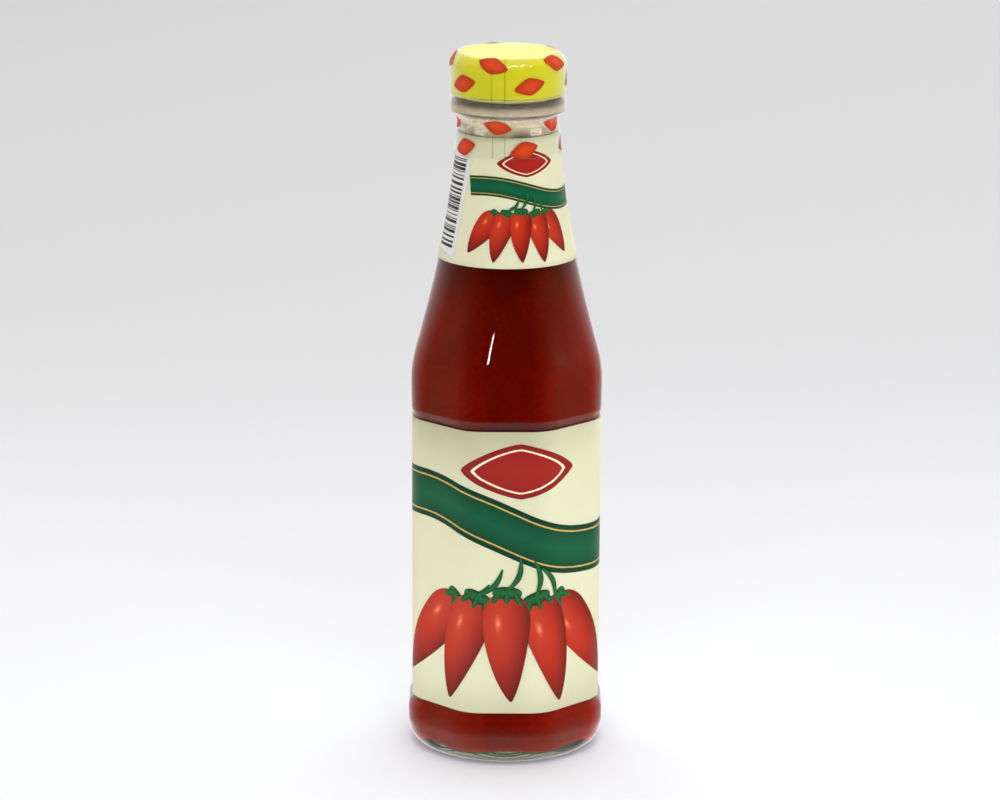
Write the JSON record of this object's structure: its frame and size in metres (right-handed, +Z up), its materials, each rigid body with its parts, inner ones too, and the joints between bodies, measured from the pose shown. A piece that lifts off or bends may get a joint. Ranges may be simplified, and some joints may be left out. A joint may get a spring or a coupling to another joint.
{
  "type": "hot sauce bottle",
  "caption": "Shut octagonal glass bottle of red chilli sauce with a round tapering neck, a yellow metal cap under clear shrunk film, and cream paper labels on body and neck.",
  "frame": {"origin": "centre of the circle that the bottle stands on", "axes": "+Z up along the bottle's axis, -Y towards the facet that carries the front of the label"},
  "size_m": [0.0614, 0.0614, 0.2221],
  "materials": {
    "glass": "clear, fire polished",
    "sauce": "wet, opaque, smooth",
    "cap_lacquer": "glossy yellow lacquer",
    "label_paper": "coated, satin, printed",
    "film": "clear, glossy, printed"
  },
  "bodies": {
    "root": {"bottle": "glass", "sauce": "sauce", "cap": "cap_lacquer", "body_label": "label_paper", "neck_label": "label_paper", "shrink_film": "film"}
  },
  "joints": []
}
